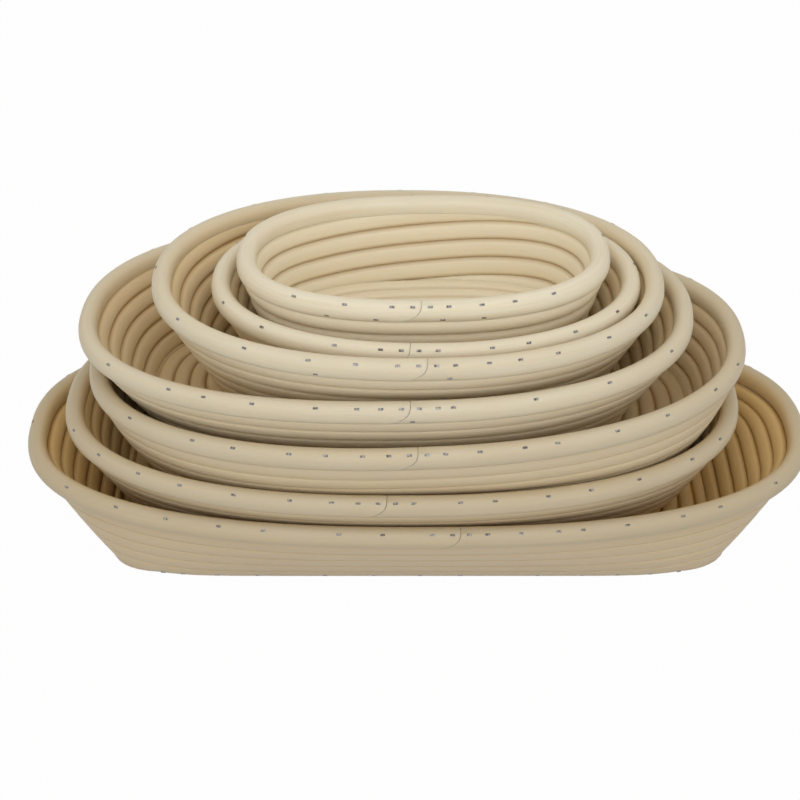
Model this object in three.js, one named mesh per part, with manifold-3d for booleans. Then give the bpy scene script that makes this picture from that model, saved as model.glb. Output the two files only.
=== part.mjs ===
import * as THREE from 'three';
import { mergeVertices } from 'three/addons/utils/BufferGeometryUtils.js';
import Module from 'manifold-3d';

const wasm = await Module();
wasm.setup();

// Cane sizes in millimetres. Every wall and floor is wound from one round cane, drawn square here.
const canePitch = 9.3;
const caneGap = 0.6;
const caneThick = 8.7;
const taperLeast = 2.2;
const footGap = 0.3;

// The rim is a thicker cane bent into a ring, its ends cut on a slant and butted as a scarf.
const rimWide = 10.6;
const rimTall = 12;
const rimSeat = 0.05;
const scarfRun = 15;
const scarfGap = 0.4;

// Flat brads that pin the scarf, set in slots through the upper outer face of the rim.
const bradLong = 2.6;
const bradThick = 1.2;
const bradDeep = 7;
const bradClear = 0.3;
const bradProud = 0.25;
const bradPlaces = [-18, -9, 9, 18];

// Faceting: steps round a wall loop, a floor loop and the rim.
const wallSteps = 16;
const floorSteps = 12;
const rimSteps = 32;
const rimSides = 8;

// Share of the floor's spare length that its straight middle takes.
const floorMiddle = 0.8;

// Least clearance kept between one basket and the one it stands in.
const nestGap = 0.3;

// Rim sizes of the seven baskets from the table up, to the middle of the rim.
const halfLength1 = 215;
const halfLength2 = 183.4;
const halfLength3 = 176.1;
const halfLength4 = 162.8;
const halfLength5 = 133;
const halfLength6 = 110.6;
const halfLength7 = 95.1;
const halfWidth1 = 99.3;
const halfWidth2 = 99.4;
const halfWidth3 = 100.9;
const halfWidth4 = 93.6;
const halfWidth5 = 86.8;
const halfWidth6 = 71.4;
const halfWidth7 = 54.8;

// How far each basket lies along the length of the stack.
const shift1 = 0;
const shift2 = -8.4;
const shift3 = 1.6;
const shift4 = -16.5;
const shift5 = -5.7;
const shift6 = 4.4;
const shift7 = 3.2;

// How far the fifth and sixth baskets lie towards the viewer.
const forward5 = 2;
const forward6 = 2;

// Flares are angles of the long sides from upright in degrees, endFlare is how much faster the two ends open,
// turn and tilt are how each basket lies in the one under it, scarfAt is the x of the rim's joint.
const baskets = [
  { name: 'basket_1', halfLength: halfLength1, halfWidth: halfWidth1, shift: shift1, squareness: 2.46,
    footSquareness: 9.3, wallTurns: 5, flareTop: 31, flareFoot: 35, endFlare: 1.74, turn: 0, tilt: 0, scarfAt: 22 },
  { name: 'basket_2', halfLength: halfLength2, halfWidth: halfWidth2, shift: shift2, squareness: 2.34,
    footSquareness: 2.6, wallTurns: 5, flareTop: 34.5, flareFoot: 35, endFlare: 0.85, turn: -0.8, tilt: 0.75,
    scarfAt: -10 },
  { name: 'basket_3', halfLength: halfLength3, halfWidth: halfWidth3, shift: shift3, squareness: 2.25,
    footSquareness: 2.6, wallTurns: 5, flareTop: 20.5, flareFoot: 37, endFlare: 1.02, turn: -0.9, tilt: 3,
    scarfAt: 5 },
  { name: 'basket_4', halfLength: halfLength4, halfWidth: halfWidth4, shift: shift4, squareness: 2.29,
    footSquareness: 2.4, wallTurns: 5, flareTop: 26.7, flareFoot: 28, endFlare: 1.33, turn: -3, tilt: 2,
    scarfAt: 18 },
  { name: 'basket_5', halfLength: halfLength5, halfWidth: halfWidth5, shift: shift5, forward: forward5, squareness: 2.2,
    footSquareness: 2.4, wallTurns: 6.25, flareTop: 26.5, flareFoot: 29, endFlare: 1.1, turn: 0, tilt: -0.3,
    scarfAt: 14 },
  { name: 'basket_6', halfLength: halfLength6, halfWidth: halfWidth6, shift: shift6, forward: forward6, squareness: 2.14,
    footSquareness: 2.5, wallTurns: 4, flareTop: 22, flareFoot: 30, endFlare: 1.3, turn: 0, tilt: 0.3,
    scarfAt: 4 },
  { name: 'basket_7', halfLength: halfLength7, halfWidth: halfWidth7, shift: shift7, squareness: 2.34,
    footSquareness: 2.6, wallTurns: 4.4, flareTop: 11, flareFoot: 18, endFlare: 1.4, turn: 0.6, tilt: 0.5,
    scarfAt: 4 },
];

const caneMaterial = new THREE.MeshStandardMaterial({ color: 0xd6c7a6, roughness: 0.6, name: 'cane' });
const bradMaterial = new THREE.MeshStandardMaterial({
  color: 0x8a8780, roughness: 0.4, metalness: 1, name: 'brad_steel',
});

function blend(from, to, share) {
  return from + (to - from) * share;
}

// One point of a superellipse and its outward direction in plan. The angle is its direction from the middle
// once the oval is drawn as wide as it is long, so one angle runs straight down a wall.
function ovalPoint(halfLength, halfWidth, squareness, angle) {
  const across = Math.cos(angle);
  const along = Math.sin(angle);
  const reach = (Math.abs(across) ** squareness + Math.abs(along) ** squareness) ** (-1 / squareness);
  const x = across * reach;
  const y = along * reach;
  const outX = Math.sign(x) * Math.abs(x) ** (squareness - 1) / halfLength;
  const outY = Math.sign(y) * Math.abs(y) ** (squareness - 1) / halfWidth;
  const size = Math.hypot(outX, outY);
  return { x: x * halfLength, y: y * halfWidth, outX: outX / size, outY: outY / size };
}

// Angles that spread the facets so each chord stands off the oval by about the same amount.
function evenAngles(basket, steps) {
  const fine = 720;
  const reach = [0];
  for (let i = 0; i < fine; i += 1) {
    const here = ovalPoint(basket.halfLength, basket.halfWidth, basket.squareness, (i * 2 * Math.PI) / fine);
    const next = ovalPoint(basket.halfLength, basket.halfWidth, basket.squareness, ((i + 1) * 2 * Math.PI) / fine);
    const length = Math.hypot(next.x - here.x, next.y - here.y);
    const facing = Math.min(1, here.outX * next.outX + here.outY * next.outY);
    reach.push(reach[i] + Math.sqrt(length * (Math.acos(facing) + 0.002)));
  }
  const angles = [];
  let i = 0;
  for (let step = 0; step < steps; step += 1) {
    const goal = (reach[fine] * step) / steps;
    while (reach[i + 1] < goal) {
      i += 1;
    }
    const share = (goal - reach[i]) / (reach[i + 1] - reach[i]);
    angles.push(((i + share) * 2 * Math.PI) / fine);
  }
  return angles;
}

// Height and inset of the wall on the long sides, at a distance climbed from its foot.
function wallProfile(basket, climbed) {
  const wallLength = basket.wallTurns * canePitch;
  const top = THREE.MathUtils.degToRad(basket.flareTop);
  const foot = THREE.MathUtils.degToRad(basket.flareFoot);
  const rate = (top - foot) / wallLength;
  const lean = foot + rate * climbed;
  const endLean = Math.atan(Math.tan(foot) * basket.endFlare);
  const footLift = (caneThick / 2) * Math.sin(endLean) + footGap;
  const rimDrop = rimTall / 2 + rimSeat;
  const height = footLift + (Math.sin(lean) - Math.sin(foot)) / rate;
  const inset = Math.sin(top) * rimDrop + (Math.cos(lean) - Math.cos(top)) / rate;
  return { height, inset, share: climbed / wallLength, rimDrop };
}

// The wall's middle at an angle round the basket and a distance climbed, with its outward direction in plan.
function wallMiddle(basket, angle, climbed) {
  const profile = wallProfile(basket, climbed);
  const roundness = blend(1 / basket.footSquareness, 1 / basket.squareness, profile.share);
  const oval = ovalPoint(
    basket.halfLength - profile.inset * basket.endFlare,
    basket.halfWidth - profile.inset,
    1 / roundness,
    angle,
  );
  return { ...oval, z: profile.height };
}

// A point on the wall: angle round the basket, distance climbed, distance out square to the wall there.
function wallPoint(basket, angle, climbed, out) {
  const middle = wallMiddle(basket, angle, climbed);
  const below = wallMiddle(basket, angle, climbed - canePitch / 2);
  const above = wallMiddle(basket, angle, climbed + canePitch / 2);
  const spread = (above.x - below.x) * middle.outX + (above.y - below.y) * middle.outY;
  const lean = Math.atan2(spread, above.z - below.z);
  const level = out * Math.cos(lean);
  return new THREE.Vector3(
    middle.x + middle.outX * level,
    middle.y + middle.outY * level,
    middle.z - out * Math.sin(lean),
  );
}

function rimHeight(basket) {
  const profile = wallProfile(basket, basket.wallTurns * canePitch);
  return profile.height + profile.rimDrop;
}

// Closed skin over a row of equal sections, each listed the same way round, with flat end caps.
function skinSections(sections) {
  const sides = sections[0].length;
  const positions = [];
  const faces = [];
  for (const section of sections) {
    for (const point of section) {
      positions.push(point.x, point.y, point.z);
    }
  }
  for (let ring = 0; ring + 1 < sections.length; ring += 1) {
    for (let side = 0; side < sides; side += 1) {
      const a = ring * sides + side;
      const b = ring * sides + ((side + 1) % sides);
      faces.push(a, b + sides, b, a, a + sides, b + sides);
    }
  }
  const last = (sections.length - 1) * sides;
  for (let side = 1; side + 1 < sides; side += 1) {
    faces.push(0, side, side + 1);
    faces.push(last, last + side + 1, last + side);
  }
  const geometry = new THREE.BufferGeometry();
  geometry.setAttribute('position', new THREE.Float32BufferAttribute(positions, 3));
  geometry.setIndex(faces);
  return geometry;
}

// Least distance between section points at least half a loop apart along a winding.
function leastGap(sections, stepsPerLoop) {
  let least = Infinity;
  for (let i = 0; i < sections.length; i += 1) {
    for (let j = i + Math.floor(stepsPerLoop / 2); j < sections.length; j += 1) {
      for (const here of sections[i]) {
        for (const there of sections[j]) {
          least = Math.min(least, here.distanceTo(there));
        }
      }
    }
  }
  return least;
}

// The wall is one cane climbing clockwise round the basket. It is thinned over its first and last loop,
// so the wound wall is level at the foot and under the rim. The sections are listed from the top down.
function wallSections(basket) {
  const angles = evenAngles(basket, wallSteps);
  const wallLength = basket.wallTurns * canePitch;
  const sections = [];
  for (let step = 0; step <= (basket.wallTurns + 1) * wallSteps; step += 1) {
    const loops = step / wallSteps;
    const low = Math.max(0, (loops - 1) * canePitch) + caneGap / 2;
    const high = Math.min(wallLength, loops * canePitch) - caneGap / 2;
    if (high - low < taperLeast) {
      continue;
    }
    const angle = angles[(wallSteps - (step % wallSteps)) % wallSteps];
    sections.push([
      wallPoint(basket, angle, low, -caneThick / 2),
      wallPoint(basket, angle, low, caneThick / 2),
      wallPoint(basket, angle, high, caneThick / 2),
      wallPoint(basket, angle, high, -caneThick / 2),
    ]);
  }
  return sections.reverse();
}

// Plan outline of the floor, just inside the foot of the wall.
function floorOutline(basket) {
  return evenAngles(basket, wallSteps).map((angle) => {
    const foot = wallPoint(basket, angle, 0, -caneThick / 2 - caneGap);
    return new THREE.Vector2(foot.x, foot.y);
  });
}

// How far a ray from a start on the long axis runs to the outline drawn in by some depth.
function drawnInReach(outline, depth, start, heading) {
  let reach = Infinity;
  for (let i = 0; i < outline.length; i += 1) {
    const from = outline[i];
    const edge = outline[(i + 1) % outline.length].clone().sub(from).normalize();
    const outward = new THREE.Vector2(edge.y, -edge.x);
    const toward = outward.dot(heading);
    if (toward > 1e-6) {
      reach = Math.min(reach, (outward.dot(from) - outward.dot(start) - depth) / toward);
    }
  }
  return reach;
}

// The floor is one cane wound flat from the foot of the wall inward, round a straight middle.
// Its first loop thickens from nothing, so the floor meets the wall all round.
function floorSections(basket) {
  const outline = floorOutline(basket);
  const halfLength = Math.max(...outline.map((point) => point.x));
  const halfWidth = Math.max(...outline.map((point) => point.y));
  const middle = (halfLength - halfWidth) * floorMiddle;
  const angles = evenAngles(basket, floorSteps);
  const sections = [];
  for (let step = 0; step < floorSteps * (halfWidth / canePitch + 1); step += 1) {
    const loops = step / floorSteps;
    const outerDepth = Math.max(0, (loops - 1) * canePitch);
    const innerDepth = loops * canePitch - caneGap;
    if (innerDepth - outerDepth < taperLeast) {
      continue;
    }
    const foot = wallPoint(basket, angles[step % floorSteps], 0, 0);
    const start = new THREE.Vector2(THREE.MathUtils.clamp(foot.x, -middle, middle), 0);
    const heading = new THREE.Vector2(foot.x, foot.y).sub(start).normalize();
    const outerReach = drawnInReach(outline, outerDepth, start, heading);
    const innerReach = Math.max(caneGap, drawnInReach(outline, innerDepth, start, heading));
    if (outerReach - innerReach < taperLeast) {
      break;
    }
    const outer = start.clone().addScaledVector(heading, outerReach);
    const inner = start.clone().addScaledVector(heading, innerReach);
    sections.push([
      new THREE.Vector3(inner.x, inner.y, 0),
      new THREE.Vector3(outer.x, outer.y, 0),
      new THREE.Vector3(outer.x, outer.y, caneThick),
      new THREE.Vector3(inner.x, inner.y, caneThick),
    ]);
  }
  return sections;
}

// The middle line of the rim with the length run so far at each of its points.
function rimPath(basket) {
  const line = evenAngles(basket, rimSteps).map((angle) => (
    ovalPoint(basket.halfLength, basket.halfWidth, basket.squareness, angle)
  ));
  const runs = [0];
  for (let i = 0; i < rimSteps; i += 1) {
    const next = line[(i + 1) % rimSteps];
    runs.push(runs[i] + Math.hypot(next.x - line[i].x, next.y - line[i].y));
  }
  return { line, runs, total: runs[rimSteps], height: rimHeight(basket) };
}

// A point of the rim: length run along it, distance out and distance up from its middle line.
function rimPoint(path, run, out, up) {
  const wrapped = ((run % path.total) + path.total) % path.total;
  let i = 0;
  while (path.runs[i + 1] < wrapped) {
    i += 1;
  }
  const share = (wrapped - path.runs[i]) / (path.runs[i + 1] - path.runs[i]);
  const here = path.line[i];
  const next = path.line[(i + 1) % rimSteps];
  return new THREE.Vector3(
    blend(here.x + here.outX * out, next.x + next.outX * out, share),
    blend(here.y + here.outY * out, next.y + next.outY * out, share),
    path.height + up,
  );
}

// Run length of the front point of the rim that lies at a given x.
function frontRun(path, x) {
  for (let i = rimSteps / 2; i < rimSteps; i += 1) {
    const here = path.line[i];
    const next = path.line[(i + 1) % rimSteps];
    if (next.x >= x) {
      return path.runs[i] + ((x - here.x) / (next.x - here.x)) * (path.runs[i + 1] - path.runs[i]);
    }
  }
  return path.runs[rimSteps / 2];
}

function rimSection(path, run, slant) {
  const section = [];
  for (let side = 0; side < rimSides; side += 1) {
    const angle = ((side + 0.5) * 2 * Math.PI) / rimSides;
    const spread = 0.5 / Math.cos(Math.PI / rimSides);
    const up = Math.sin(angle) * rimTall * spread;
    section.push(rimPoint(path, run + slant * up, Math.cos(angle) * rimWide * spread, up));
  }
  return section;
}

// The rim runs once round from one slanted end of the scarf to the other.
function rimSections(basket, path) {
  const scarf = frontRun(path, basket.scarfAt);
  const slant = scarfRun / rimTall;
  const margin = scarfRun * 0.75;
  const sections = [rimSection(path, scarf + scarfGap / 2, slant)];
  const runs = path.runs.slice(0, rimSteps).map((run) => (run - scarf + path.total) % path.total);
  runs.sort((first, second) => first - second);
  for (const run of runs) {
    if (run > margin && run < path.total - margin) {
      sections.push(rimSection(path, scarf + run, 0));
    }
  }
  sections.push(rimSection(path, scarf + path.total - scarfGap / 2, slant));
  return sections;
}

function toManifold(geometry) {
  const plain = geometry.clone();
  plain.deleteAttribute('normal');
  plain.deleteAttribute('uv');
  const merged = mergeVertices(plain, 1e-5);
  return new wasm.Manifold(new wasm.Mesh({
    numProp: 3,
    vertProperties: new Float32Array(merged.attributes.position.array),
    triVerts: new Uint32Array(merged.index.array),
  }));
}

function fromManifold(solid) {
  const mesh = solid.getMesh();
  const geometry = new THREE.BufferGeometry();
  geometry.setAttribute('position', new THREE.Float32BufferAttribute(mesh.vertProperties, 3));
  geometry.setIndex(Array.from(mesh.triVerts));
  return geometry;
}

// A flat brad driven square through the upper outer face of the rim; extra widens it to cut its slot.
function bradBlock(path, run, extra) {
  const facing = Math.PI / 4;
  const face = rimPoint(path, run, Math.cos(facing) * rimWide * 0.5, Math.sin(facing) * rimTall * 0.5);
  const core = rimPoint(path, run, 0, 0);
  const ahead = rimPoint(path, run + 1, 0, 0).sub(rimPoint(path, run - 1, 0, 0)).normalize();
  const outward = face.clone().sub(core).normalize();
  const side = new THREE.Vector3().crossVectors(outward, ahead).normalize();
  const long = bradDeep + bradProud + extra;
  const block = new THREE.BoxGeometry(bradLong + extra * 2, bradThick + extra * 2, long + extra);
  const middle = face.clone().addScaledVector(outward, bradProud + extra - (long + extra) / 2);
  block.applyMatrix4(new THREE.Matrix4().makeBasis(ahead, side, outward).setPosition(middle));
  return block;
}

// Where a basket lies in the stack: a turn about the upright, a tilt along its length, shifts and a lift.
function placement(basket, lift) {
  const turn = new THREE.Matrix4().makeRotationZ(THREE.MathUtils.degToRad(basket.turn));
  const tilt = new THREE.Matrix4().makeRotationY(-THREE.MathUtils.degToRad(basket.tilt));
  return new THREE.Matrix4().makeTranslation(basket.shift, -(basket.forward ?? 0), lift).multiply(tilt).multiply(turn);
}

// Distances climbed up a wall from its foot to its top, four for each turn.
function wallClimbs(basket) {
  const count = Math.round(basket.wallTurns * 4);
  return Array.from({ length: count + 1 }, (_, i) => (basket.wallTurns * canePitch * i) / count);
}

// Points all over the outside of a basket, between its facets too.
function outsidePoints(basket) {
  const points = [];
  const rings = [];
  const wallAngles = evenAngles(basket, wallSteps);
  for (const climbed of wallClimbs(basket)) {
    rings.push(wallAngles.map((angle) => wallPoint(basket, angle, climbed, caneThick / 2)));
  }
  const path = rimPath(basket);
  for (const [up, out] of [[-0.5, 0.21], [-0.36, 0.36], [-0.21, 0.5], [0, 0.5], [0.21, 0.5]]) {
    rings.push(path.runs.slice(0, rimSteps).map((run) => rimPoint(path, run, rimWide * out, rimTall * up)));
  }
  for (const ring of rings) {
    for (let i = 0; i < ring.length; i += 1) {
      for (const share of [0, 0.25, 0.5, 0.75]) {
        points.push(ring[i].clone().lerp(ring[(i + 1) % ring.length], share));
      }
    }
  }
  return points;
}

// Level outlines of the inside of a basket from its floor to the top of its rim.
function insideLevels(basket) {
  const levels = [];
  const wallAngles = evenAngles(basket, wallSteps);
  for (const climbed of wallClimbs(basket)) {
    const ring = wallAngles.map((angle) => wallPoint(basket, angle, climbed, -caneThick / 2));
    levels.push({ height: ring[0].z, ring });
  }
  const path = rimPath(basket);
  const wallTop = levels[levels.length - 1].height + nestGap;
  for (const [up, out] of [[-0.5, 0.5], [0.21, 0.5], [0.36, 0.36]]) {
    const ring = path.runs.slice(0, rimSteps).map((run) => rimPoint(path, run, -rimWide * out, 0));
    levels.push({ height: Math.max(wallTop, path.height + rimTall * up), ring });
  }
  levels.push({ height: path.height + rimTall / 2, ring: null });
  return levels;
}

// Whether a point stays clear of the inside of a basket described by its levels.
function clearInside(levels, point) {
  if (point.z < caneThick + nestGap) {
    return false;
  }
  let ring = levels[0].ring;
  for (const level of levels) {
    if (level.height <= point.z + nestGap) {
      ring = level.ring;
    }
  }
  if (!ring) {
    return true;
  }
  for (let i = 0; i < ring.length; i += 1) {
    const from = ring[i];
    const to = ring[(i + 1) % ring.length];
    const size = Math.hypot(to.x - from.x, to.y - from.y);
    const inward = ((to.x - from.x) * (point.y - from.y) - (to.y - from.y) * (point.x - from.x)) / size;
    if (inward < nestGap) {
      return false;
    }
  }
  return true;
}

// The lowest lift at which one basket stands clear inside the basket under it.
function nestLift(basket, under, underLift) {
  const points = outsidePoints(basket);
  const levels = insideLevels(under);
  const toUnder = placement(under, underLift).invert();
  let blocked = underLift - 1;
  let free = underLift + rimHeight(under) + basket.halfLength;
  while (free - blocked > 0.05) {
    const lift = (free + blocked) / 2;
    const move = toUnder.clone().multiply(placement(basket, lift));
    const clear = points.every((point) => clearInside(levels, point.clone().applyMatrix4(move)));
    if (clear) {
      free = lift;
    } else {
      blocked = lift;
    }
  }
  return free;
}

const part = new THREE.Group();
part.name = 'nested_proofing_baskets';

function addPiece(geometry, name, material, place) {
  const placed = geometry.clone().applyMatrix4(place).toNonIndexed();
  placed.computeVertexNormals();
  const mesh = new THREE.Mesh(placed, material);
  mesh.name = name;
  part.add(mesh);
}

let lift = 0;
baskets.forEach((basket, index) => {
  if (index > 0) {
    lift = nestLift(basket, baskets[index - 1], lift);
  }
  const place = placement(basket, lift);
  const floor = floorSections(basket);
  const wall = wallSections(basket);
  const path = rimPath(basket);
  console.log(basket.name, 'lift', lift.toFixed(1), 'rim middle', (lift + path.height).toFixed(1));
  console.log(basket.name, 'least gap of floor', leastGap(floor, floorSteps).toFixed(2),
    'of wall', leastGap(wall, wallSteps).toFixed(2));
  addPiece(skinSections(floor), `${basket.name}_floor`, caneMaterial, place);
  addPiece(skinSections(wall), `${basket.name}_wall`, caneMaterial, place);
  let rim = toManifold(skinSections(rimSections(basket, path)));
  bradPlaces.forEach((offset, count) => {
    const run = frontRun(path, basket.scarfAt) + offset;
    rim = rim.subtract(toManifold(bradBlock(path, run, bradClear)));
    addPiece(bradBlock(path, run, 0), `${basket.name}_brad_${count + 1}`, bradMaterial, place);
  });
  addPiece(fromManifold(rim), `${basket.name}_rim`, caneMaterial, place);
});

export default part;
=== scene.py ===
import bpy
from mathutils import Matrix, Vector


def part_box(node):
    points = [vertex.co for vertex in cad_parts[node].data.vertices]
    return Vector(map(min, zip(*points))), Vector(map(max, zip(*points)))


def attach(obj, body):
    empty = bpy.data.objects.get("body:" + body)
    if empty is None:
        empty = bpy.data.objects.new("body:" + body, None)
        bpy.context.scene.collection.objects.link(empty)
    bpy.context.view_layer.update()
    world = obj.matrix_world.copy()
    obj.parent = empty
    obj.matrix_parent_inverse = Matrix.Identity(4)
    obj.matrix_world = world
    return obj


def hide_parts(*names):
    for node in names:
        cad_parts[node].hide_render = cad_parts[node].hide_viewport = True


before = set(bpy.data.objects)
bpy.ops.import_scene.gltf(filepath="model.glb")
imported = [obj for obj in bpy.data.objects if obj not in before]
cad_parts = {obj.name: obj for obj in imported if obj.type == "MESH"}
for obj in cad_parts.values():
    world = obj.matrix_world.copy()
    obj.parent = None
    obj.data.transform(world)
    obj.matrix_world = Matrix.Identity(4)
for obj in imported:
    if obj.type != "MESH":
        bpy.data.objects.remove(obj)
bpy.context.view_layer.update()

import math

import bpy
from mathutils import Matrix, Vector

mm = 0.001
print("frame loaded:", len(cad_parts), "solids")


# the seven baskets from the table up: rim half sizes in mm, flares of the long sides in degrees from
# upright, how each one lies in the stack, x of its rim joint, the angle round it where the wall cane runs
# out, squareness of the outer side of its cane, how far its colour turns darker and yellower, and how much
# painted shade its inside and grooves get
baskets = [
    dict(name="basket_1", halfLength=215, halfWidth=99.3, squareness=2.46, footSquareness=9.3,
         wallTurns=5, flareTop=31, flareFoot=35, endFlare=1.74, shift=0, forward=0, turn=0, tilt=0,
         scarfAt=22.5, tipAt=75, outerFlat=6, darkerTone=1.15, insideShade=0.8),
    dict(name="basket_2", halfLength=183.4, halfWidth=99.4, squareness=2.34, footSquareness=2.6,
         wallTurns=5, flareTop=34.5, flareFoot=35, endFlare=0.85, shift=-8.4, forward=0, turn=-0.8, tilt=0.75,
         scarfAt=-6, tipAt=110, outerFlat=5, darkerTone=1, insideShade=0.65),
    dict(name="basket_3", halfLength=176.1, halfWidth=100.9, squareness=2.25, footSquareness=2.6,
         wallTurns=5, flareTop=20.5, flareFoot=37, endFlare=1.02, shift=1.6, forward=0, turn=-0.9, tilt=3,
         scarfAt=2.5, tipAt=95, outerFlat=5, darkerTone=0.85, insideShade=0.32),
    dict(name="basket_4", halfLength=162.8, halfWidth=93.6, squareness=2.29, footSquareness=2.4,
         wallTurns=5, flareTop=26.7, flareFoot=28, endFlare=1.33, shift=-16.5, forward=0, turn=-3, tilt=2,
         scarfAt=19, tipAt=70, outerFlat=4.5, darkerTone=0.5, insideShade=0.42),
    dict(name="basket_5", halfLength=133, halfWidth=86.8, squareness=2.2, footSquareness=2.4,
         wallTurns=6.25, flareTop=26.5, flareFoot=29, endFlare=1.1, shift=-5.7, forward=2, turn=0, tilt=-0.3,
         scarfAt=9.5, tipAt=80, outerFlat=4, darkerTone=0.4, insideShade=0.45),
    dict(name="basket_6", halfLength=110.6, halfWidth=71.4, squareness=2.14, footSquareness=2.5,
         wallTurns=4, flareTop=22, flareFoot=30, endFlare=1.3, shift=4.4, forward=2, turn=0, tilt=0.3,
         scarfAt=-8.5, tipAt=100, outerFlat=3, darkerTone=0.1, insideShade=0.4),
    dict(name="basket_7", halfLength=95.1, halfWidth=54.8, squareness=2.34, footSquareness=2.6,
         wallTurns=4.4, flareTop=11, flareFoot=18, endFlare=1.4, shift=3.2, forward=0, turn=0.6, tilt=0.5,
         scarfAt=-2, tipAt=34, outerFlat=2.5, darkerTone=0, insideShade=0.02),
]

# the winding in mm: pitch of the turns, thickness through the wall, least height of a tapered end, how far
# wall and floor reach into their neighbours, the share of a loop on which it climbs to the next, the share of
# its thickness that a thin end keeps, how far round towards an end its flare starts, and the length over
# which the floor bends up into a flared end
winding = dict(pitch=9.3, thick=8.7, taperLeast=0.8, footGap=0.3, rimSeat=0.05, tuck=7, rimReach=2.2,
               floorReach=4.8, climbShare=0.3, endThick=0.55, endStart=0.55, endBend=6)

# the three canes: sections in mm, steps of their sweeps, how much painted groove shade they get, where the
# grain of one wall starts after the last on the unwound cane, the slanted joint of a rim with the length kept
# clear of it, and the offset that sets where painted shade on a rim's underside starts; skin smooths over
# edges that bend less than sharpAngle, in degrees
wallCane = dict(halfThick=4.35, halfTall=5, innerSquareness=2.6, outerGroove=0.77, sides=20,
                stepsPerLoop=128, startApart=3000)
floorCane = dict(halfThick=5, halfTall=4.35, squareness=2.6, sides=14, stepsPerLoop=96, middleShare=0.9,
                 underGroove=0.5, startWide=3)
rimCane = dict(wide=10.6, tall=12, squareness=2.15, sides=24, steps=224, scarfTail=15, scarfBend=2.4,
               scarfGap=0.45, scarfClear=16.5, underStart=0.1)
sharpAngle = 50


def clearSelection():
    if bpy.context.object and bpy.context.object.mode != "OBJECT":
        bpy.ops.object.mode_set(mode="OBJECT")
    bpy.ops.object.select_all(action="DESELECT")


def makeActive(piece):
    clearSelection()
    piece.select_set(True)
    bpy.context.view_layer.objects.active = piece


def blend(low, high, share):
    return low + (high - low) * share


def signedPower(value, power):
    return math.copysign(abs(value) ** power, value)


# point of an oval and its outward direction, seen from above; one angle runs straight down a wall
def ovalPoint(halfLength, halfWidth, squareness, angle):
    across = math.cos(angle)
    along = math.sin(angle)
    reach = (abs(across) ** squareness + abs(along) ** squareness) ** (-1 / squareness)
    x = across * reach
    y = along * reach
    out = Vector((signedPower(x, squareness - 1) / halfLength, signedPower(y, squareness - 1) / halfWidth))
    return Vector((x * halfLength, y * halfWidth)), out.normalized()


# angles round an oval, closer together where it bends most
def evenAngles(shape, steps):
    fine = 1440
    leastBend = 0.004
    reach = [0.0]
    ring = [ovalPoint(*shape, i * math.tau / fine) for i in range(fine + 1)]
    for (here, hereOut), (after, afterOut) in zip(ring, ring[1:]):
        facing = math.acos(min(1.0, hereOut.dot(afterOut)))
        reach.append(reach[-1] + math.sqrt((after - here).length * (facing + leastBend)))
    angles = []
    i = 0
    for step in range(steps):
        goal = reach[-1] * step / steps
        while reach[i + 1] < goal:
            i += 1
        angles.append((i + (goal - reach[i]) / (reach[i + 1] - reach[i])) * math.tau / fine)
    return angles


# height and inset of a long side at a distance climbed from its foot, and the share of the wall climbed
def wallProfile(basket, climbed):
    wallLength = basket["wallTurns"] * winding["pitch"]
    top = math.radians(basket["flareTop"])
    foot = math.radians(basket["flareFoot"])
    rate = (top - foot) / wallLength
    lean = foot + rate * climbed
    endLean = math.atan(math.tan(foot) * basket["endFlare"])
    footLift = winding["thick"] / 2 * math.sin(endLean) + winding["footGap"]
    rimDrop = rimCane["tall"] / 2 + winding["rimSeat"]
    height = footLift + (math.sin(lean) - math.sin(foot)) / rate
    inset = math.sin(top) * rimDrop + (math.cos(lean) - math.cos(top)) / rate
    return height, inset, climbed / wallLength


# half length, half width and squareness of the wall at a distance climbed, with its height
def wallOval(basket, climbed):
    height, inset, share = wallProfile(basket, climbed)
    squareness = 1 / blend(1 / basket["footSquareness"], 1 / basket["squareness"], share)
    halfLength = basket["halfLength"] - inset * basket["endFlare"]
    return (halfLength, basket["halfWidth"] - inset, squareness), height


def wallMiddle(basket, angle, climbed):
    shape, height = wallOval(basket, climbed)
    spot, facing = ovalPoint(*shape, angle)
    return Vector((spot.x, spot.y, height)), facing


# middle of the wall with the directions out of it and up it, and how much steeper than a long side it runs
def wallFrame(basket, angle, climbed):
    half = winding["pitch"] / 2
    middle, facing = wallMiddle(basket, angle, climbed)
    step = wallMiddle(basket, angle, climbed + half)[0] - wallMiddle(basket, angle, climbed - half)[0]
    spread = step.xy.dot(facing)
    run = math.hypot(spread, step.z)
    up = Vector((facing.x * spread, facing.y * spread, step.z)) / run
    out = Vector((facing.x * step.z, facing.y * step.z, -spread)) / run
    return middle, out, up, run / winding["pitch"]


def rimHeight(basket):
    height = wallProfile(basket, basket["wallTurns"] * winding["pitch"])[0]
    return height + rimCane["tall"] / 2 + winding["rimSeat"]


# where a basket lies: its turn, tilt and shift, and the lift that its packed rim shows
def placement(basket):
    low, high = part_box(basket["name"] + "_rim")
    tilt = math.radians(basket["tilt"])
    lift = (low.z + high.z) / 2 / mm - rimHeight(basket) * math.cos(tilt)
    turned = Matrix.Rotation(-tilt, 4, "Y") @ Matrix.Rotation(math.radians(basket["turn"]), 4, "Z")
    return Matrix.Scale(mm, 4) @ Matrix.Translation((basket["shift"], -basket["forward"], lift)) @ turned


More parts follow.
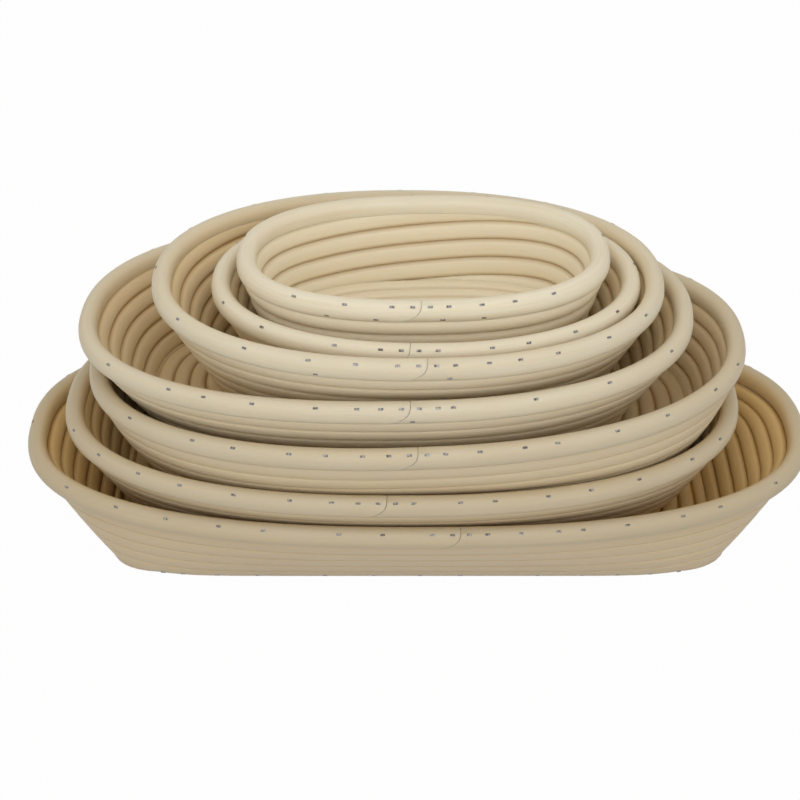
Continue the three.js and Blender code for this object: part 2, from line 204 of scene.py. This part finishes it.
# outline of a cane's section as a closed curve to sweep: x points out of the wall, y up it
def caneSection(name, halfThick, halfTall, outerSquareness, innerSquareness, sides):
    clearSelection()
    bpy.ops.curve.primitive_bezier_circle_add()
    section = bpy.context.object
    section.name = name
    section.data.splines.clear()
    outline = section.data.splines.new("POLY")
    outline.points.add(sides - 1)
    for i, point in enumerate(outline.points):
        angle = i * math.tau / sides
        power = 2 / (outerSquareness if math.cos(angle) > 0 else innerSquareness)
        point.co = (signedPower(math.cos(angle), power) * halfThick,
                    signedPower(math.sin(angle), power) * halfTall, 0, 1)
    outline.use_cyclic_u = True
    return section


# one cane swept through its rings (middle, out, up, share of thickness, share of height), all in mm;
# straight keeps each point's place on the unwound cane for the grain
def sweepCane(name, rings, section, place, start=0.0):
    clearSelection()
    bpy.ops.curve.primitive_nurbs_path_add()
    cane = bpy.context.object
    cane.name = name
    cane.data.name = name
    cane.data.splines.clear()
    cane.data.dimensions = "3D"
    cane.data.twist_mode = "Z_UP"
    cane.data.bevel_mode = "OBJECT"
    cane.data.bevel_object = section
    line = cane.data.splines.new("POLY")
    line.points.add(len(rings) - 1)
    for point, ring in zip(line.points, rings):
        point.co = (*ring[0], 1)
    bpy.ops.object.convert(target="MESH")
    cane = bpy.context.object
    outline = [point.co.xy for point in section.data.splines[0].points]
    straight = cane.data.attributes.new("straight", "FLOAT_VECTOR", "POINT")
    along = start
    number = 0
    for i, (middle, out, up, thick, tall) in enumerate(rings):
        if i > 0:
            along += (middle - rings[i - 1][0]).length
        for spot in outline:
            corner = middle + out * spot.x * thick + up * spot.y * tall
            cane.data.vertices[number].co = place @ corner
            straight.data[number].vector = Vector((along, spot.x * thick, spot.y * tall)) * mm
            number += 1
    return cane


# which way each point of a cane faces: skin.x is 1 on the side that looks into the basket and sets painted
# shade there, skin.y rises towards the groove beside the next turn, and on a rim towards its underside, and
# sets painted groove shade, and skin.z is 1 on a cane set back under a rim, which gets painted warm bounce
# light
def markSkin(cane, inward, grooveShade, paintedBounce):
    skin = cane.data.attributes.new("skin", "FLOAT_VECTOR", "POINT")
    straight = cane.data.attributes["straight"].data
    for i, mark in enumerate(skin.data):
        spot = straight[i].vector
        mark.vector = (inward(spot / mm), grooveShade(spot / mm), paintedBounce)


def floorInward(spot):
    return spot.z / floorCane["halfTall"]


# painted groove shade on a floor: full on its upper side, weaker on its underside
def floorGroove(spot):
    edge = abs(spot.y) / floorCane["halfThick"]
    return edge if spot.z > 0 else edge * floorCane["underGroove"]


def wallInward(spot):
    return -spot.y / wallCane["halfThick"]


# painted shade on a rim: a little on its inner side, and painted groove shade on its underside
def rimInward(spot):
    return -spot.y / rimCane["wide"]


def rimUnderShade(spot):
    return -2 * spot.z / rimCane["tall"] - rimCane["underStart"]


# painted groove shade is stronger on the rounder inner side of a wall than on its flat outer side
def wallGroove(spot):
    edge = abs(spot.z) / wallCane["halfTall"]
    return edge if spot.y < 0 else edge * wallCane["outerGroove"]


# closes the two cut ends, faces everything outward and smooths the skin
def closeEnds(cane):
    makeActive(cane)
    bpy.ops.object.mode_set(mode="EDIT")
    bpy.ops.mesh.select_all(action="SELECT")
    bpy.ops.mesh.fill_holes(sides=0)
    bpy.ops.mesh.select_all(action="SELECT")
    bpy.ops.mesh.normals_make_consistent(inside=False)
    bpy.ops.object.mode_set(mode="OBJECT")
    bpy.ops.object.shade_smooth_by_angle(angle=math.radians(sharpAngle))


def easeInOut(share):
    return share * share * (3 - 2 * share)


# share of a wall's climb that its loops take up: towards an end that leans out further than the long sides,
# the loops keep their height and the loops of the floor climb the rest
def loopShare(basket, angle):
    wallLength = basket["wallTurns"] * winding["pitch"]
    levels = (0.1, 0.3, 0.5, 0.7, 0.9)
    stretches = [wallFrame(basket, 0, wallLength * level)[3] for level in levels]
    endShare = min(1.0, len(stretches) / sum(stretches))
    nearEnd = max(0.0, abs(math.cos(angle)) - winding["endStart"]) / (1 - winding["endStart"])
    return blend(1, endShare, easeInOut(nearEnd))


# the wall cane lies in level loops and climbs clockwise from each to the next on a short stretch; it starts
# in a thin end at the foot, and its last loop climbs in under the rim
def wallRings(basket):
    steps = wallCane["stepsPerLoop"]
    wallLength = basket["wallTurns"] * winding["pitch"]
    top = wallLength + winding["rimReach"]
    loops = round(basket["wallTurns"])
    angles = evenAngles(wallOval(basket, wallLength / 3)[0], steps)
    shares = [loopShare(basket, angle) for angle in angles]
    tip = min(range(steps), key=lambda i: abs(angles[i] - math.radians(basket["tipAt"])))
    rings = []
    for left in range((loops + 1) * steps, -1, -1):
        part = min(1.0, left % steps / steps / winding["climbShare"])
        loopsBelowRim = left // steps + easeInOut(part)
        low = max(0.0, top * (1 - loopsBelowRim / loops))
        high = min(wallLength + winding["tuck"], top * (1 - (loopsBelowRim - 1) / loops))
        if high - low < winding["taperLeast"]:
            continue
        i = (tip + left) % steps
        climbed = wallLength - (wallLength - (low + high) / 2) * shares[i]
        middle, out, up, stretch = wallFrame(basket, angles[i], climbed)
        tall = (high - low) / winding["pitch"]
        rings.append((middle, out, up, min(1.0, winding["endThick"] + tall), tall * stretch * shares[i]))
    return rings


# how far a ray from the long axis runs to the floor's edge drawn in by some depth
def drawnInReach(edges, depth, start, heading):
    reach = math.inf
    alongEdge = 1e-6
    for spot, outward, slope in edges:
        toward = outward.dot(heading)
        if toward > alongEdge:
            reach = min(reach, (outward.dot(spot - start) - depth) / toward)
    return max(0.0, reach)


# the floor's edge under the foot of the wall: its spots, their outward directions and the length of slope
# that the wall's loops leave below them
def floorEdges(basket, angles):
    ring = []
    slopes = []
    for angle in angles:
        middle, out, up, stretch = wallFrame(basket, angle, 0)
        ring.append((middle + out * (winding["floorReach"] - winding["thick"] / 2)).xy)
        slopes.append(basket["wallTurns"] * winding["pitch"] * (1 - loopShare(basket, angle)) * stretch)
    edges = []
    for here, after, slope in zip(ring, ring[1:] + ring[:1], slopes):
        edge = (after - here).normalized()
        edges.append((here, Vector((edge.y, -edge.x)), slope))
    return edges


# the floor cane winds from the foot of the wall in to a straight middle, flat but for the flared ends that
# it climbs
def floorRings(basket):
    steps = floorCane["stepsPerLoop"]
    pitch = winding["pitch"]
    angles = evenAngles(wallOval(basket, 0)[0], steps)
    edges = floorEdges(basket, angles)
    halfLength = max(spot.x for spot, outward, slope in edges)
    halfWidth = max(spot.y for spot, outward, slope in edges)
    endSlope = max(slope for spot, outward, slope in edges)
    middle = (halfLength - halfWidth + endSlope) * floorCane["middleShare"]
    rings = []
    for step in range(int(steps * (halfWidth / pitch + 1))):
        outer = max(0.0, (step / steps - 1) * pitch)
        inner = step / steps * pitch
        if inner - outer < floorCane["startWide"]:
            continue
        foot, outward, slope = edges[step % steps]
        start = Vector((max(-middle, min(middle, foot.x)), 0))
        heading = (foot - start).normalized()
        outerReach = drawnInReach(edges, max(0.0, outer - slope), start, heading)
        innerReach = drawnInReach(edges, max(0.0, inner - slope), start, heading)
        if outerReach < winding["taperLeast"]:
            break
        climbed = slope - (outer + inner) / 2
        toward = outward.dot(heading)
        if outer < slope:
            innerReach = outerReach + (slope - inner) / toward
            outerReach += (slope - outer) / toward
        wide = max(outerReach - innerReach, winding["taperLeast"]) / pitch
        across = heading.to_3d()
        up = Vector((0, 0, 1))
        spot = (start + heading * (outerReach + innerReach) / 2).to_3d() + up * winding["thick"] / 2
        if climbed > 0:
            bent = min(1.0, climbed / winding["endBend"])
            stretch = wallFrame(basket, angles[step % steps], 0)[3]
            wallSpot, wallOut, wallUp, stretch = wallFrame(basket, angles[step % steps], climbed / stretch)
            spot = spot.lerp(wallSpot, bent)
            across = across.lerp(wallUp, bent).normalized()
            up = up.lerp(-wallOut, bent).normalized()
        rings.append((spot, across, up, wide, 1.0))
    return rings


# the rim's middle line, with the outward direction and the length run so far
def rimLine(basket):
    shape = (basket["halfLength"], basket["halfWidth"], basket["squareness"])
    line = []
    run = 0.0
    for angle in evenAngles(shape, rimCane["steps"]):
        spot, facing = ovalPoint(*shape, angle)
        if line:
            run += (spot - line[-1][0]).length
        line.append((spot, facing, run))
    return line, run + (line[0][0] - line[-1][0]).length


# spot and outward direction at a length run round the rim
def rimSpot(line, total, run):
    run %= total
    for i, (spot, facing, start) in enumerate(line):
        after, afterFacing, end = line[(i + 1) % len(line)]
        if i + 1 == len(line):
            end = total
        if run <= end:
            share = (run - start) / (end - start)
            return spot.lerp(after, share), facing.lerp(afterFacing, share).normalized()
    return line[0][0], line[0][1]


# length run round the rim to the spot on its front edge at a given x
def runAt(line, total, x):
    for i, (spot, facing, start) in enumerate(line):
        after = line[(i + 1) % len(line)]
        end = total if i + 1 == len(line) else after[2]
        if spot.y + after[0].y < 0 and min(spot.x, after[0].x) <= x <= max(spot.x, after[0].x):
            return blend(start, end, (x - spot.x) / (after[0].x - spot.x))
    return 0.0


# how far the scarf has run along the rim at a height above the rim's middle: upright on top, with a long
# tail below
def scarfSlide(up):
    down = 0.5 - up / rimCane["tall"]
    return -rimCane["scarfTail"] * max(0.0, down) ** rimCane["scarfBend"]


# the rim goes once round, from one slanted end of the scarf to the other
def makeRim(basket, place, section):
    line, total = rimLine(basket)
    scarf = runAt(line, total, basket["scarfAt"])
    gap = rimCane["scarfGap"] / 2
    clear = rimCane["scarfClear"]
    runs = [gap] + sorted((run - scarf) % total for spot, facing, run in line) + [total - gap]
    runs = [run for run in runs if clear < run < total - clear or run in (gap, total - gap)]
    height = Vector((0, 0, rimHeight(basket)))
    rings = []
    for run in runs:
        spot, facing = rimSpot(line, total, scarf + run)
        rings.append((spot.to_3d() + height, facing.to_3d(), Vector((0, 0, 1)), 1.0, 1.0))
    rim = sweepCane(basket["name"] + "_rim_cane", rings, section, place, start=basket["halfLength"])
    outline = [point.co.xy for point in section.data.splines[0].points]
    for ring in (0, len(rings) - 1):
        for side, corner in enumerate(outline):
            run = runs[ring] + scarfSlide(corner.y)
            spot, facing = rimSpot(line, total, scarf + run)
            middle = spot.to_3d() + height
            vertex = rim.data.vertices[ring * len(outline) + side]
            vertex.co = place @ (middle + facing.to_3d() * corner.x + Vector((0, 0, corner.y)))
            rim.data.attributes["straight"].data[vertex.index].vector.x += scarfSlide(corner.y) * mm
    return rim


# one shader socket, with the sums a material needs written as plain expressions
class Wire:
    def __init__(self, tree, socket):
        self.tree = tree
        self.socket = socket

    def sum(self, operation, first, second):
        return addNode(self.tree, "ShaderNodeMath", dict(operation=operation), {0: first, 1: second})

    def __add__(self, other):
        return self.sum("ADD", self, other)

    def __radd__(self, other):
        return self.sum("ADD", other, self)

    def __sub__(self, other):
        return self.sum("SUBTRACT", self, other)

    def __rsub__(self, other):
        return self.sum("SUBTRACT", other, self)

    def __mul__(self, other):
        return self.sum("MULTIPLY", self, other)

    def __rmul__(self, other):
        return self.sum("MULTIPLY", other, self)


# adds a node with its settings, then its socket values or links, and gives back one output
def addNode(tree, kind, settings, sockets, output=0):
    node = tree.nodes.new(kind)
    stops = settings.pop("stops", None)
    for key, value in settings.items():
        setattr(node, key, value)
    if stops:
        ramp = node.color_ramp
        while len(ramp.elements) < len(stops):
            ramp.elements.new(0.5)
        for element, (spot, colour) in zip(ramp.elements, stops):
            element.position = spot
            element.color = colour
    for key, value in sockets.items():
        if isinstance(value, Wire):
            tree.links.new(value.socket, node.inputs[key])
        else:
            node.inputs[key].default_value = value
    return Wire(tree, node.outputs[output])


def newMaterial(name):
    material = bpy.data.materials.new(name)
    material.use_nodes = True
    material.node_tree.nodes.clear()
    return material, material.node_tree


def finishMaterial(tree, shader):
    output = tree.nodes.new("ShaderNodeOutputMaterial")
    tree.links.new(shader.socket, output.inputs["Surface"])


def grey(value):
    return (value, value, value, 1)


def blendColours(first, second, share):
    return [blend(one, other, share) for one, other in zip(first, second)]


def mixColours(tree, share, first, second):
    return addNode(tree, "ShaderNodeMix", dict(data_type="RGBA"), {0: share, 6: first, 7: second}, output=2)


# noise drawn out along the cane: marks per metre along it and across it
def caneNoise(tree, straight, along, across, drift, detail):
    coords = addNode(tree, "ShaderNodeMapping", {},
                     {"Vector": straight, "Scale": (along, across, across),
                      "Location": (drift, drift * caneFinish["sideDrift"], 0)})
    return addNode(tree, "ShaderNodeTexNoise", {},
                   {"Vector": coords, "Scale": 1.0, "Detail": detail,
                    "Roughness": caneFinish["noiseRoughness"]})


# grey ramp from none to some share between two levels of a value
def ramp(tree, value, low, high, most):
    stops = [(low, grey(0)), (high, grey(most))]
    return addNode(tree, "ShaderNodeValToRGB", dict(stops=stops), {"Fac": value})


# colours of pale cane and of its darker, yellower tone, of the tones that drift over it, of the painted warm
# bounce light on walls and floors, and of the painted shade inside and in the grooves; each ramp is where a
# tone sets in, where it is full and its full share; marks are per metre along and across the cane, and drifts
# set the noise of one basket apart from the next
caneFinish = dict(
    pale=(0.83, 0.785, 0.66, 1),
    # a darker, yellower tone, blended in more on the lower baskets
    darkerTone=(0.61, 0.535, 0.405, 1),
    rosy=(0.80, 0.725, 0.585, 1),
    darkerRosy=(0.59, 0.505, 0.37, 1),
    honey=(0.72, 0.60, 0.39, 1),
    streak=(0.64, 0.51, 0.31, 1),
    # painted warm bounce light on walls and floors, lighter and warmer than the rims
    paintedBounce=(0.92, 0.82, 0.62, 1),
    darkerPaintedBounce=(0.78, 0.64, 0.44, 1),
    paintedBounceShare=0.45,
    # painted shade inside the basket
    insideShadeColour=(0.71, 0.475, 0.17, 1),
    # painted shade in the grooves and under the rims
    grooveShade=(0.42, 0.24, 0.065, 1),
    roughness=0.48,
    glow=0.25,
    glowDepth=(1, 0.7, 0.4),
    glowScale=0.003,
    bump=0.3,
    bumpDepth=0.0002,
    shine=0.4,
    fibreMarks=(30, 2600),
    bandMarks=(8, 300),
    patchMarks=(12, 40),
    fibreDetail=3.0,
    toneDetail=2.0,
    noiseRoughness=0.55,
    driftApart=1.7,
    sideDrift=0.7,
    bandDrift=3,
    patchDrift=2,
    patchRamp=(0.4, 0.7, 0.9),
    bandRamp=(0.5, 0.8, 0.35),
    fibreRamp=(0.5, 0.78, 0.35),
    insideShadeRange=(0.0, 0.7),
    grooveShadeRange=(0.6, 1.0),
    grooveShadeLeast=0.45,
    grooveShadeByInside=0.6,
    fibreRoughness=0.25,
)


# peeled cane: fibres along its length, slow drifts of tone, painted warm bounce light on walls and floors,
# and painted shade inside the basket and in the grooves
def makeCane(name, drift, darkerTone, insideShade):
    material, tree = newMaterial(name)
    straight = addNode(tree, "ShaderNodeAttribute", dict(attribute_name="straight"), {}, output=1)
    skin = addNode(tree, "ShaderNodeAttribute", dict(attribute_name="skin"), {}, output=1)
    inward = addNode(tree, "ShaderNodeSeparateXYZ", {}, {"Vector": skin}, output=0)
    grooveShade = addNode(tree, "ShaderNodeSeparateXYZ", {}, {"Vector": skin}, output=1)
    paintedBounce = addNode(tree, "ShaderNodeSeparateXYZ", {}, {"Vector": skin}, output=2)
    fibre = caneNoise(tree, straight, *caneFinish["fibreMarks"], drift, caneFinish["fibreDetail"])
    bands = caneNoise(tree, straight, *caneFinish["bandMarks"], drift * caneFinish["bandDrift"],
                      caneFinish["toneDetail"])
    patches = caneNoise(tree, straight, *caneFinish["patchMarks"], drift * caneFinish["patchDrift"],
                        caneFinish["toneDetail"])
    pale = blendColours(caneFinish["pale"], caneFinish["darkerTone"], darkerTone)
    rosy = blendColours(caneFinish["rosy"], caneFinish["darkerRosy"], darkerTone)
    paintedBounceColour = blendColours(caneFinish["paintedBounce"], caneFinish["darkerPaintedBounce"], darkerTone)
    colour = mixColours(tree, ramp(tree, patches, *caneFinish["patchRamp"]), pale, rosy)
    colour = mixColours(tree, ramp(tree, bands, *caneFinish["bandRamp"]), colour, caneFinish["honey"])
    colour = mixColours(tree, ramp(tree, fibre, *caneFinish["fibreRamp"]), colour, caneFinish["streak"])
    # painted warm bounce light on walls and floors
    colour = mixColours(tree, paintedBounce * caneFinish["paintedBounceShare"], colour, paintedBounceColour)
    # painted shade on the side that looks into the basket
    insideShadeShare = ramp(tree, inward, *caneFinish["insideShadeRange"], insideShade)
    colour = mixColours(tree, insideShadeShare, colour, caneFinish["insideShadeColour"])
    # painted shade in the grooves and on the rims' undersides
    grooveShare = caneFinish["grooveShadeLeast"] + insideShade * caneFinish["grooveShadeByInside"]
    shade = ramp(tree, grooveShade, *caneFinish["grooveShadeRange"], grooveShare)
    colour = mixColours(tree, shade, colour, caneFinish["grooveShade"])
    rough = caneFinish["roughness"] + (fibre - 0.5) * caneFinish["fibreRoughness"]
    normal = addNode(tree, "ShaderNodeBump", {},
                     {"Height": fibre, "Strength": caneFinish["bump"], "Distance": caneFinish["bumpDepth"]})
    shader = addNode(tree, "ShaderNodeBsdfPrincipled", {},
                     {"Base Color": colour, "Roughness": rough, "Normal": normal,
                      "Specular IOR Level": caneFinish["shine"], "Subsurface Weight": caneFinish["glow"],
                      "Subsurface Radius": caneFinish["glowDepth"],
                      "Subsurface Scale": caneFinish["glowScale"]})
    finishMaterial(tree, shader)
    return material


bradFinish = dict(steel=(0.43, 0.44, 0.46, 1), stain=(0.13, 0.115, 0.10, 1), stainsPerMetre=900,
                  stainDetail=2.0, stainRamp=(0.4, 0.62, 1), stainDulls=0.6, roughness=0.4,
                  stainRoughness=0.3)


# dull steel brad ends with dark stains
def makeBradSteel():
    material, tree = newMaterial("bradSteel")
    coords = addNode(tree, "ShaderNodeTexCoord", {}, {}, output=3)
    stain = addNode(tree, "ShaderNodeTexNoise", {},
                    {"Vector": coords, "Scale": bradFinish["stainsPerMetre"],
                     "Detail": bradFinish["stainDetail"]})
    share = ramp(tree, stain, *bradFinish["stainRamp"])
    colour = mixColours(tree, share, bradFinish["steel"], bradFinish["stain"])
    rough = bradFinish["roughness"] + stain * bradFinish["stainRoughness"]
    shader = addNode(tree, "ShaderNodeBsdfPrincipled", {},
                     {"Base Color": colour, "Roughness": rough,
                      "Metallic": 1 - share * bradFinish["stainDulls"]})
    finishMaterial(tree, shader)
    return material


def setMaterial(piece, material):
    piece.data.materials.clear()
    piece.data.materials.append(material)


# the photograph's view: pixels of an 800 wide frame, millimetres and degrees
view = dict(focalPixels=2060, frameWidth=800, pitch=35, distance=1163, aimX=-9.7, aimZ=68.5)


# pixel across the photograph's frame of a spot in metres
def pixelAcross(spot):
    down = math.radians(view["pitch"])
    away = spot / mm - Vector((view["aimX"], 0, view["aimZ"]))
    depth = view["distance"] + away.y * math.cos(down) - away.z * math.sin(down)
    return view["frameWidth"] / 2 + view["focalPixels"] * away.x / depth


# flat brad ends in mm and degrees: pixels across the photograph of those it shows on each rim, in the groove
# under a rim and round the foot of the lowest basket; mm from the rim joint of those that pin it; spacing at
# the back, and how far a seat may face back to count as front or has to face back to count as back
brads = dict(
    long=2.6, thick=1.3, deep=1.6, proud=0.15, bevel=0.2, rise=50, underRise=-24, footClimb=2.4,
    byJoint=[-15, -4.5, 4.5, 14], backSpacing=42, frontMost=0.2, backLeast=0.3, footSeats=720,
    rim={
        "basket_1": [33, 66, 116, 165, 219, 263, 338, 382, 521, 559, 583, 628, 683, 720, 776],
        "basket_2": [74, 99, 138, 179, 233, 290, 331, 461, 495, 548, 592, 640, 693, 720, 733],
        "basket_3": [106, 130, 192, 233, 288, 326, 362, 481, 525, 558, 618, 667, 716, 738],
        "basket_4": [108, 168, 203, 252, 316, 357, 453, 537, 610, 672],
        "basket_5": [156, 178, 244, 307, 356, 490, 521, 559, 609, 646],
        "basket_6": [223, 261, 335, 493, 529, 575, 618, 634],
        "basket_7": [245, 293, 345, 483, 515, 553, 603],
    },
    under={"basket_7": [326, 376, 443, 484], "basket_5": [315, 450], "basket_4": [412]},
    foot={"basket_1": [164, 183, 217, 257, 325, 375, 420, 460, 480, 537, 582, 618, 650, 678]},
)


def makeBrad():
    clearSelection()
    bpy.ops.mesh.primitive_cube_add(size=1)
    brad = bpy.context.object
    brad.scale = (brads["long"] * mm, brads["thick"] * mm, brads["deep"] * mm)
    bpy.ops.object.transform_apply(location=False, rotation=False, scale=True)
    bpy.ops.object.mode_set(mode="EDIT")
    bpy.ops.mesh.select_all(action="SELECT")
    bpy.ops.mesh.bevel(offset=brads["bevel"] * mm, segments=1, affect="EDGES")
    bpy.ops.object.mode_set(mode="OBJECT")
    return brad


# a seat for a brad: a spot on the rim's skin at a length run round it, the way along it and the way out
def rimSeat(basket, line, total, run, rise):
    spot, facing = rimSpot(line, total, run)
    outward = facing.to_3d() * math.cos(math.radians(rise)) + Vector((0, 0, math.sin(math.radians(rise))))
    power = 2 / rimCane["squareness"]
    skin = facing.to_3d() * outward.xy.length ** power * rimCane["wide"] / 2
    skin.z = rimHeight(basket) + signedPower(outward.z, power) * rimCane["tall"] / 2
    return spot.to_3d() + skin, Vector((-facing.y, facing.x, 0)), outward


# a seat on the lowest loop of a wall
def footSeat(basket, angle):
    middle, out, up, stretch = wallFrame(basket, angle, brads["footClimb"])
    return middle + out * wallCane["halfThick"], up.cross(out), out


# the seats nearest to some pixels across the photograph
def seatsSeen(seats, place, pixels):
    front = [(pixelAcross(place @ seat[0]), seat) for seat in seats if seat[2].y < brads["frontMost"]]
    return [min(front, key=lambda item: abs(item[0] - pixel))[1] for pixel in pixels]


def bradSeats(basket, place):
    name = basket["name"]
    line, total = rimLine(basket)
    joint = runAt(line, total, basket["scarfAt"])
    onRim = [rimSeat(basket, line, total, run, brads["rise"]) for run in range(int(total))]
    underRim = [rimSeat(basket, line, total, run, brads["underRise"]) for run in range(int(total))]
    onFoot = [footSeat(basket, -math.pi * i / brads["footSeats"]) for i in range(brads["footSeats"])]
    back = [seat for seat in onRim if seat[2].y > brads["backLeast"]]
    seats = [rimSeat(basket, line, total, joint + offset, brads["rise"]) for offset in brads["byJoint"]]
    seats += seatsSeen(onRim, place, brads["rim"][name])
    seats += seatsSeen(underRim, place, brads["under"].get(name, []))
    seats += seatsSeen(onFoot, place, brads["foot"].get(name, []))
    return seats + back[brads["backSpacing"] // 2::brads["backSpacing"]]


# copies of the brad in their seats, heads just proud of the cane, joined into one piece
def setBrads(brad, basket, place):
    copies = []
    for spot, ahead, outward in bradSeats(basket, place):
        copy = brad.copy()
        copy.data = brad.data.copy()
        bpy.context.collection.objects.link(copy)
        middle = spot + outward * (brads["proud"] - brads["deep"] / 2)
        turned = Matrix((ahead, outward.cross(ahead), outward)).transposed().to_4x4()
        lying = place.to_3x3().normalized().to_4x4()
        copy.data.transform(Matrix.Translation(place @ middle) @ lying @ turned)
        copies.append(copy)
    clearSelection()
    for copy in copies:
        copy.select_set(True)
    bpy.context.view_layer.objects.active = copies[0]
    bpy.ops.object.join()
    copies[0].name = basket["name"] + "_brads"
    return copies[0]


bradSteel = makeBradSteel()
floorSection = caneSection("floorSection", floorCane["halfThick"], floorCane["halfTall"],
                           floorCane["squareness"], floorCane["squareness"], floorCane["sides"])
rimSection = caneSection("rimSection", rimCane["wide"] / 2, rimCane["tall"] / 2,
                         rimCane["squareness"], rimCane["squareness"], rimCane["sides"])
oneBrad = makeBrad()

for number, basket in enumerate(baskets):
    name = basket["name"]
    place = placement(basket)
    drift = caneFinish["driftApart"] * number
    caneMaterial = makeCane("cane" + str(number + 1), drift, basket["darkerTone"], basket["insideShade"])
    wallSection = caneSection(name + "_wall_section", wallCane["halfThick"], wallCane["halfTall"],
                              basket["outerFlat"], wallCane["innerSquareness"], wallCane["sides"])
    floor = sweepCane(name + "_floor_cane", floorRings(basket), floorSection, place)
    wall = sweepCane(name + "_wall_cane", wallRings(basket), wallSection, place,
                     start=number * wallCane["startApart"])
    bpy.data.objects.remove(wallSection)
    rim = makeRim(basket, place, rimSection)
    # walls and floors get painted warm bounce light, rims do not
    markSkin(floor, floorInward, floorGroove, 1)
    markSkin(wall, wallInward, wallGroove, 1)
    markSkin(rim, rimInward, rimUnderShade, 0)
    for piece, node in ((floor, "_floor"), (wall, "_wall"), (rim, "_rim")):
        closeEnds(piece)
        setMaterial(piece, caneMaterial)
        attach(piece, name)
        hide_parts(name + node)
    heads = setBrads(oneBrad, basket, place)
    setMaterial(heads, bradSteel)
    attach(heads, name)
    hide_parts(*(name + "_brad_" + str(count + 1) for count in range(len(brads["byJoint"]))))
    print(name, "wound:", len(floor.data.polygons), len(wall.data.polygons), len(rim.data.polygons))

for helper in (floorSection, rimSection, oneBrad):
    bpy.data.objects.remove(helper)


# white floor that keeps a soft shadow and shows white to the camera; lamps in metres and watts
studio = dict(
    floorSize=6.0, whiteShare=0.98, floorGrey=0.6, skyLight=0.66, skyTint=(1, 0.94, 0.82, 1),
    lampTint=(0.97, 0.99, 1),
    lamps=[
        dict(name="highSoftbox", place=(0, -1.1, 1.35), target=(0, 0, 0.1), size=0.9, watts=0.85),
        dict(name="frontSoftbox", place=(0, -0.95, 0.45), target=(0, 0, 0.13), size=0.7, watts=1.9),
        dict(name="nearSoftbox", place=(0, -0.3, 0.65), target=(0, 0, 0.15), size=0.4, watts=0.6),
    ],
)


def makeFloor():
    clearSelection()
    bpy.ops.mesh.primitive_plane_add(size=studio["floorSize"])
    floor = bpy.context.object
    floor.name = "studioFloor"
    material, tree = newMaterial("studioWhite")
    seen = addNode(tree, "ShaderNodeLightPath", {}, {}, output="Is Camera Ray")
    glossy = addNode(tree, "ShaderNodeLightPath", {}, {}, output="Is Glossy Ray")
    clear = addNode(tree, "ShaderNodeLightPath", {}, {}, output="Is Transmission Ray")
    white = addNode(tree, "ShaderNodeEmission", {}, {"Color": grey(1), "Strength": 1.0})
    matt = addNode(tree, "ShaderNodeBsdfDiffuse", {}, {"Color": grey(studio["floorGrey"])})
    share = (seen + glossy + clear) * studio["whiteShare"]
    finishMaterial(tree, addNode(tree, "ShaderNodeMixShader", {}, {0: share, 1: matt, 2: white}))
    setMaterial(floor, material)


def addLamp(name, place, target, size, watts):
    clearSelection()
    bpy.ops.object.light_add(type="AREA", location=place)
    lamp = bpy.context.object
    lamp.name = name
    lamp.data.size = size
    lamp.data.energy = watts
    lamp.data.color = studio["lampTint"]
    lamp.rotation_euler = (Vector(target) - Vector(place)).to_track_quat("-Z", "Y").to_euler()


def lightRoom():
    world = bpy.data.worlds.new("studioSky")
    bpy.context.scene.world = world
    world.use_nodes = True
    tree = world.node_tree
    tree.nodes.clear()
    seen = addNode(tree, "ShaderNodeLightPath", {}, {}, output="Is Camera Ray")
    sky = addNode(tree, "ShaderNodeBackground", {},
                  {"Color": studio["skyTint"], "Strength": studio["skyLight"]})
    white = addNode(tree, "ShaderNodeBackground", {}, {"Color": grey(1), "Strength": 1.0})
    mixed = addNode(tree, "ShaderNodeMixShader", {}, {0: seen, 1: sky, 2: white})
    output = tree.nodes.new("ShaderNodeOutputWorld")
    tree.links.new(mixed.socket, output.inputs["Surface"])
    for lamp in studio["lamps"]:
        addLamp(**lamp)


def makeCamera():
    clearSelection()
    down = math.radians(view["pitch"])
    aim = Vector((view["aimX"], 0, view["aimZ"])) * mm
    back = Vector((0, -math.cos(down), math.sin(down))) * view["distance"] * mm
    bpy.ops.object.camera_add(location=aim + back, rotation=(math.pi / 2 - down, 0, 0))
    camera = bpy.context.object
    camera.data.lens = camera.data.sensor_width * view["focalPixels"] / view["frameWidth"]
    bpy.context.scene.camera = camera


makeFloor()
lightRoom()
makeCamera()
bpy.context.scene.view_settings.view_transform = "Standard"
print("studio set")
